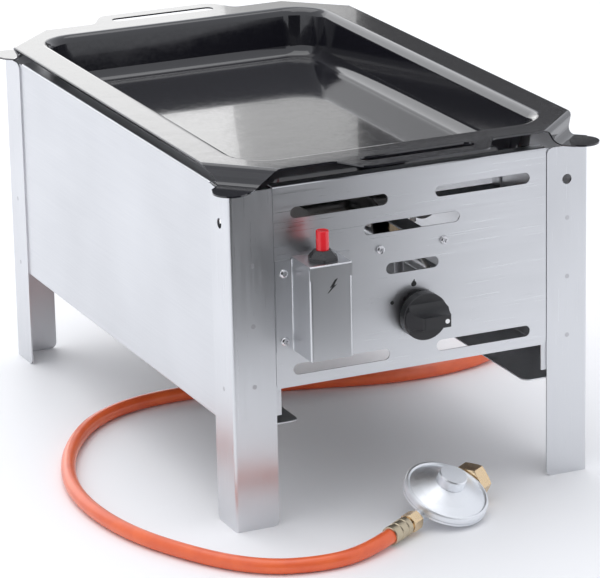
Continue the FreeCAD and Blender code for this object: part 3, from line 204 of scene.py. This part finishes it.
def hose_rubber():
    material = new_material("hose_orange", (0.80, 0.125, 0.03), 0.0, 0.30, Specular_IOR_Level=0.6,
                            Coat_Weight=0.25, Coat_Roughness=0.2)
    cloud = noise(material, 40.0)
    tint(material, cloud, (0.74, 0.105, 0.028), (0.86, 0.15, 0.038))
    grain = noise(material, 1500.0, detail=2.0)
    bump(material, grain, 0.08, 0.00008)
    return material


STEEL = (0.70, 0.71, 0.73)
SIDE_GRAIN = (1.0, 0.012, 1.0)
FRONT_GRAIN = (0.012, 1.0, 1.0)
UP_GRAIN = (1.0, 1.0, 0.012)

steel_side = brushed("steel_side", STEEL, SIDE_GRAIN, 0.30, 0.46)
steel_front = brushed("steel_front", STEEL, FRONT_GRAIN, 0.26, 0.40)
steel_leg = brushed("steel_leg", STEEL, UP_GRAIN, 0.26, 0.40)
steel_box = brushed("steel_box", STEEL, UP_GRAIN, 0.29, 0.34)
enamel_black = enamel()
# Burner steel made darker than bare steel: painted shade for the dark inside of the housing, seen through the
# slots.
burner_steel = plain_metal("burner_steel", (0.34, 0.33, 0.32), 0.35)
zinc_sheet = plain_metal("zinc_sheet", (0.55, 0.56, 0.58), 0.42, 120.0)
zinc_screw = plain_metal("zinc_screw", (0.72, 0.72, 0.74), 0.25)
brass = plain_metal("brass_bright", (0.86, 0.66, 0.42), 0.24)
brass_dull = plain_metal("brass_dull", (0.60, 0.52, 0.38), 0.34)
copper = plain_metal("copper_bare", (0.80, 0.42, 0.28), 0.3)
knob_black = plastic("knob_black", (0.022, 0.022, 0.024), 0.38)
bezel_black = plastic("bezel_black", (0.035, 0.035, 0.037), 0.30)
igniter_grey = plastic("igniter_grey", (0.10, 0.10, 0.10), 0.45)
button_red = plastic("button_red", (0.74, 0.012, 0.022), 0.22, Coat_Weight=0.4)
ceramic = plastic("ceramic_white", (0.82, 0.80, 0.75), 0.2)
sleeve = plastic("silicone_sleeve", (0.62, 0.60, 0.56), 0.5)
hose_orange = hose_rubber()
regulator_silver = plain_metal("regulator_silver", (0.92, 0.94, 0.97), 0.42, 420.0, 0.14)
diaphragm_black = plastic("diaphragm_black", (0.03, 0.03, 0.03), 0.6)
print_black = new_material("print_black", (0.015, 0.015, 0.015), 0.0, 0.45)
print_white = new_material("print_white", (0.85, 0.85, 0.85), 0.0, 0.4)
weld_mark = plain_metal("weld_mark", (0.56, 0.56, 0.58), 0.4)

WEARS = {
    steel_side: ["left_side_panel", "right_side_panel"],
    steel_front: ["front_panel", "back_panel"],
    steel_leg: ["leg_front_left", "leg_front_right", "leg_rear_left", "leg_rear_right"],
    steel_box: ["igniter_box"],
    enamel_black: ["griddle_pan"],
    burner_steel: ["burner_tube_left", "burner_tube_right", "burner_end_caps", "burner_manifold",
                   "mixing_tube"],
    zinc_sheet: ["burner_rail_front", "burner_rail_rear", "burner_clamps", "valve_bracket",
                 "ignition_bracket", "gas_supply_tube", "feed_tube"],
    zinc_screw: ["clamp_screws", "bracket_screws", "igniter_box_screws", "valve_screws", "valve_spindle",
                 "push_rod", "knob_clip", "valve_spring", "igniter_spring", "thermocouple_probe",
                 "spark_electrode"],
    brass: ["valve_body", "valve_plug", "valve_bonnet", "injector_holder", "injector", "supply_nuts",
            "inlet_elbow", "inlet_locknut", "hose_inlet_nut", "hose_outlet_nut", "hose_outlet_nipple",
            "bottle_nut"],
    brass_dull: ["hose_inlet_ferrule", "hose_outlet_ferrule"],
    copper: ["thermocouple_lead", "magnet_unit"],
    knob_black: ["control_knob"],
    bezel_black: ["igniter_bezel"],
    igniter_grey: ["igniter_body"],
    button_red: ["igniter_button"],
    ceramic: ["electrode_insulator"],
    sleeve: ["spark_lead"],
    hose_orange: ["gas_hose"],
    regulator_silver: ["regulator_body", "regulator_cover", "regulator_cap"],
    diaphragm_black: ["regulator_diaphragm"],
}


def dress_nodes():
    for material, names in WEARS.items():
        for name in names:
            for place in nodes[name].material_slots:
                place.material = material


dress_nodes()


# ---- small pieces -------------------------------------------------------------------------------
CIRCLE_SIDES = 20


def mesh_object(name, vertices, faces, material, body, smooth=False):
    mesh = bpy.data.meshes.new(name)
    mesh.from_pydata([tuple(v) for v in vertices], [], faces)
    mesh.update()
    mesh.materials.append(material)
    if smooth:
        mesh.shade_smooth()
    obj = bpy.data.objects.new(name, mesh)
    scene.collection.objects.link(obj)
    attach(obj, body)
    return obj


def plate(name, outline, origin, across, up, thickness, material, body):
    """A thin flat shape: its outline in the plane of across and up, raised by thickness."""
    across, up, origin = Vector(across), Vector(up), Vector(origin)
    out = across.cross(up).normalized()
    count = len(outline)
    low = [origin + across * a + up * b for a, b in outline]
    high = [p + out * thickness for p in low]
    faces = [tuple(range(count, 2 * count)), tuple(reversed(range(count)))]
    faces += [(i, (i + 1) % count, count + (i + 1) % count, count + i) for i in range(count)]
    return mesh_object(name, low + high, faces, material, body)


def circle(radius):
    turns = [2 * math.pi * i / CIRCLE_SIDES for i in range(CIRCLE_SIDES)]
    return [(radius * math.cos(turn), radius * math.sin(turn)) for turn in turns]


# ---- hose ---------------------------------------------------------------------------------------
def make_hose():
    curve = bpy.data.curves.new("hose", "CURVE")
    curve.dimensions = "3D"
    curve.bevel_depth = HOSE_RADIUS
    curve.bevel_resolution = 8
    curve.use_fill_caps = True
    spline = curve.splines.new("NURBS")
    spline.points.add(len(HOSE_ROUTE) - 1)
    for point, place in zip(spline.points, HOSE_ROUTE):
        point.co = (*place, 1.0)
    spline.order_u = 3
    spline.use_endpoint_u = True
    spline.resolution_u = 12
    curve.materials.append(hose_orange)
    obj = bpy.data.objects.new("orange_hose", curve)
    scene.collection.objects.link(obj)
    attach(obj, "housing")
    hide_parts("gas_hose")


make_hose()


# ---- springs ------------------------------------------------------------------------------------
WIRE_SIDES = 10
STEPS_PER_TURN = 28


def coil_mesh(low, high, along, wire, turns):
    """A right-handed coil that fills the box from low to high, round its middle along axis number along."""
    side, other = (along + 1) % 3, (along + 2) % 3
    radius = (high[side] - low[side]) / 2 - wire
    centre = (low + high) / 2
    steps = int(turns * STEPS_PER_TURN)
    vertices, faces = [], []
    for i in range(steps + 1):
        angle = 2 * math.pi * turns * i / steps
        out = Vector((0.0, 0.0, 0.0))
        out[side], out[other] = math.cos(angle), math.sin(angle)
        point = centre + out * radius
        point[along] = low[along] + wire + (high[along] - low[along] - 2 * wire) * i / steps
        for k in range(WIRE_SIDES):
            turn = 2 * math.pi * k / WIRE_SIDES
            corner = point + out * (wire * math.cos(turn))
            corner[along] += wire * math.sin(turn)
            vertices.append(corner)
    for i in range(steps):
        for k in range(WIRE_SIDES):
            a, b = i * WIRE_SIDES + k, i * WIRE_SIDES + (k + 1) % WIRE_SIDES
            faces.append((a, a + WIRE_SIDES, b + WIRE_SIDES, b))
    faces.append(tuple(range(WIRE_SIDES)))
    faces.append(tuple(reversed(range(steps * WIRE_SIDES, (steps + 1) * WIRE_SIDES))))
    return vertices, faces


def body_of(node):
    return next(b for b, held in frame["record"]["behaviour"]["bodies"].items() if node in held)


def spring(node, along, fixed_low, wire, turns):
    """A coil in place of a CAD spring."""
    low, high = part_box(node)
    vertices, faces = coil_mesh(low, high, along, wire, turns)
    coil = mesh_object(node + "_coil", vertices, faces, zinc_screw, body_of(node), smooth=True)
    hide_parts(node)
    anchor = (low + high) / 2
    anchor[along] = low[along] if fixed_low else high[along]
    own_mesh(coil)


spring("valve_spring", along=1, fixed_low=False,
       wire=0.6 * MM, turns=3.5)
spring("igniter_spring", along=2, fixed_low=True,
       wire=0.5 * MM, turns=6)


# ---- spot welds ---------------------------------------------------------------------------------
leg_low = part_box("leg_front_left")[0]
half_x, half_y = -leg_low.x, -leg_low.y
WELD_IN = 0.020
WELD_RADIUS = 2.1 * MM
WELD_RAISED = 0.06 * MM
WELD_HEIGHTS = (0.1295, 0.1835, 0.2370)
SIDE_WELDS = {"front": (0.125,), "rear": (0.100, 0.164)}


def weld_mark_at(name, place, across):
    plate(name, circle(WELD_RADIUS), place, across, (0, 0, 1), WELD_RAISED, weld_mark, "housing")


def weld_marks():
    """Flattened spot-weld marks on the flanges of every leg."""
    for sx, side in ((-1, "left"), (1, "right")):
        for sy, end in ((-1, "front"), (1, "rear")):
            x, y = sx * (half_x - WELD_IN), sy * (half_y - WELD_IN)
            for i, z in enumerate(WELD_HEIGHTS):
                weld_mark_at("weld_%s_%s_end_%d" % (end, side, i), (x, sy * half_y, z), (-sy, 0, 0))
            for i, z in enumerate(SIDE_WELDS[end]):
                weld_mark_at("weld_%s_%s_side_%d" % (end, side, i), (sx * half_x, y, z), (0, sx, 0))


weld_marks()


# ---- printed marks ------------------------------------------------------------------------------
PRINT_RAISED = 0.05 * MM
FLAME_SIZE = 3.4 * MM
FLAME_AT = (0.001, 0.1996)
PANEL_DOT_RADIUS = 1.8 * MM
PANEL_DOT_AT = (-0.0197, 0.1846)
SPARK_AT = (-0.0893, 0.2275)
KNOB_DOT_RADIUS = 2.1 * MM
KNOB_DOT_OUT = 10.8 * MM

FLAME = [
    (0.0, -1.0), (0.55, -0.8), (0.78, -0.3), (0.62, 0.2), (0.3, 0.45), (0.34, 0.8),
    (0.1, 1.0), (-0.1, 0.6), (-0.42, 0.3), (-0.72, -0.15), (-0.66, -0.65), (-0.35, -0.92),
]
SPARK = [
    (0.0, 0.0), (-1.6, -0.8), (-6.4, -7.4), (-4.4, -6.9), (-8.6, -12.0), (-7.2, -11.4),
    (0.6, -4.6), (-2.3, -5.6), (1.3, 0.6),
]


def scaled(outline, size):
    return [(a * size, b * size) for a, b in outline]


def print_on_front(name, outline, face_y, place, material, body):
    """A printed shape, barely raised, on a face that looks to the front. Its place is in x and z."""
    x, z = place
    plate(name, outline, (x, face_y, z), (1, 0, 0), (0, 0, 1), PRINT_RAISED, material, body)


def printed_marks():
    """A flame and a dot by the knob, a spark on the ignition box, and a white dot on the knob's grip bar."""
    panel_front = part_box("front_panel")[0].y
    box_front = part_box("igniter_box")[0].y
    knob_low, knob_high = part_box("control_knob")
    knob_dot_at = ((knob_low.x + knob_high.x) / 2 + KNOB_DOT_OUT, (knob_low.z + knob_high.z) / 2)
    flame, dot = scaled(FLAME, FLAME_SIZE), circle(PANEL_DOT_RADIUS)
    print_on_front("mark_large_flame", flame, panel_front, FLAME_AT, print_black, "housing")
    print_on_front("mark_off_dot", dot, panel_front, PANEL_DOT_AT, print_black, "housing")
    print_on_front("mark_spark", scaled(SPARK, MM), box_front, SPARK_AT, print_black, "housing")
    print_on_front("knob_dot", circle(KNOB_DOT_RADIUS), knob_low.y, knob_dot_at, print_white, "knob")


printed_marks()


# ---- studio -------------------------------------------------------------------------------------
def make_floor():
    half = 14.0
    corners = [(-half, -half, 0), (half, -half, 0), (half, half, 0), (-half, half, 0)]
    mesh = bpy.data.meshes.new("floor")
    mesh.from_pydata(corners, [], [(0, 1, 2, 3)])
    material = new_material("floor_pale", (0.94, 0.94, 0.95), 0.0, 0.6)
    grain = noise(material, 2.0, detail=2.0)
    tint(material, grain, (0.935, 0.935, 0.945), (0.945, 0.945, 0.955))
    mesh.materials.append(material)
    obj = bpy.data.objects.new("floor", mesh)
    scene.collection.objects.link(obj)


def soft_box(name, place, aim, width, height, power):
    """An area light at place that faces aim."""
    light = bpy.data.lights.new(name, "AREA")
    light.shape = "RECTANGLE"
    light.size = width
    light.size_y = height
    light.energy = power
    obj = bpy.data.objects.new(name, light)
    scene.collection.objects.link(obj)
    obj.location = place
    obj.rotation_euler = (Vector(aim) - Vector(place)).to_track_quat("-Z", "Y").to_euler()
    obj.visible_camera = False


def make_world(strength):
    world = bpy.data.worlds.new("studio")
    world.use_nodes = True
    background = world.node_tree.nodes["Background"]
    background.inputs["Color"].default_value = (0.93, 0.95, 1.0, 1.0)
    background.inputs["Strength"].default_value = strength
    scene.world = world


def make_camera():
    yaw, pitch, roll = (math.radians(a) for a in (YAW, PITCH, ROLL))
    ahead = Vector((math.sin(yaw) * math.cos(pitch), math.cos(yaw) * math.cos(pitch), -math.sin(pitch)))
    level = Vector((math.cos(yaw), -math.sin(yaw), 0))
    upright = level.cross(ahead)
    right = level * math.cos(roll) + upright * math.sin(roll)
    up = upright * math.cos(roll) - level * math.sin(roll)
    turn = Matrix((right, up, -ahead)).transposed().to_4x4()
    data = bpy.data.cameras.new("camera")
    data.sensor_width = 36.0
    data.lens = LENS
    data.clip_end = 100.0
    obj = bpy.data.objects.new("camera", data)
    scene.collection.objects.link(obj)
    obj.matrix_world = Matrix.Translation(CAMERA_AT) @ turn
    scene.camera = obj


def mirror_card(name, corner, across, up, shade):
    """A plain card that only shows in reflections: black where shade is 0, white where it is 1."""
    corner, across, up = Vector(corner), Vector(across), Vector(up)
    mesh = bpy.data.meshes.new(name)
    mesh.from_pydata([corner, corner + across, corner + across + up, corner + up], [], [(0, 1, 2, 3)])
    material = new_material(name, (0.0, 0.0, 0.0), 0.0, 1.0, Emission_Color=(1.0, 1.0, 1.0, 1.0),
                            Emission_Strength=shade, Specular_IOR_Level=0.0)
    mesh.materials.append(material)
    obj = bpy.data.objects.new(name, mesh)
    scene.collection.objects.link(obj)
    obj.visible_camera = False
    obj.visible_diffuse = False
    obj.visible_shadow = False


# Seen from the camera, the pan mirrors the cards behind the object: the bright one in most of its floor, and
# the dark ones at its front right and along its front rim. The upper left of the front panel mirrors the dark
# card in front.
BACK_Y, CARD_LOW, CARD_EDGE = 4.0, 0.4, 1.95
CARD_UP = (0.0, 0.0, 1.245)

make_floor()
soft_box("top_light", place=(-0.3, 0.3, 3.0), aim=(0, 0, 0.2), width=3.0, height=3.0, power=34)
soft_box("back_light", place=(-0.4, 3.0, 1.3), aim=(-0.2, 0, 0.5), width=3.4, height=2.0, power=22)
mirror_card("backdrop", corner=(-1.5, BACK_Y, CARD_LOW), across=(3.45, 0.0, 0.0), up=CARD_UP, shade=1.0)
mirror_card("right_flag", corner=(CARD_EDGE, BACK_Y, CARD_LOW), across=(3.0, 0.0, 0.0), up=CARD_UP,
            shade=0.12)
mirror_card("rim_flag", corner=(0.5, BACK_Y, 1.648), across=(4.5, 0.0, 0.0), up=(0.0, 0.0, 0.15),
            shade=0.06)
mirror_card("front_flag", corner=(-0.75, -0.72, 0.0), across=(0.95, 0.0, 0.0), up=(0.0, -0.1, 0.55),
            shade=0.04)
make_world(strength=0.90)
make_camera()
scene.view_settings.view_transform = "Standard"
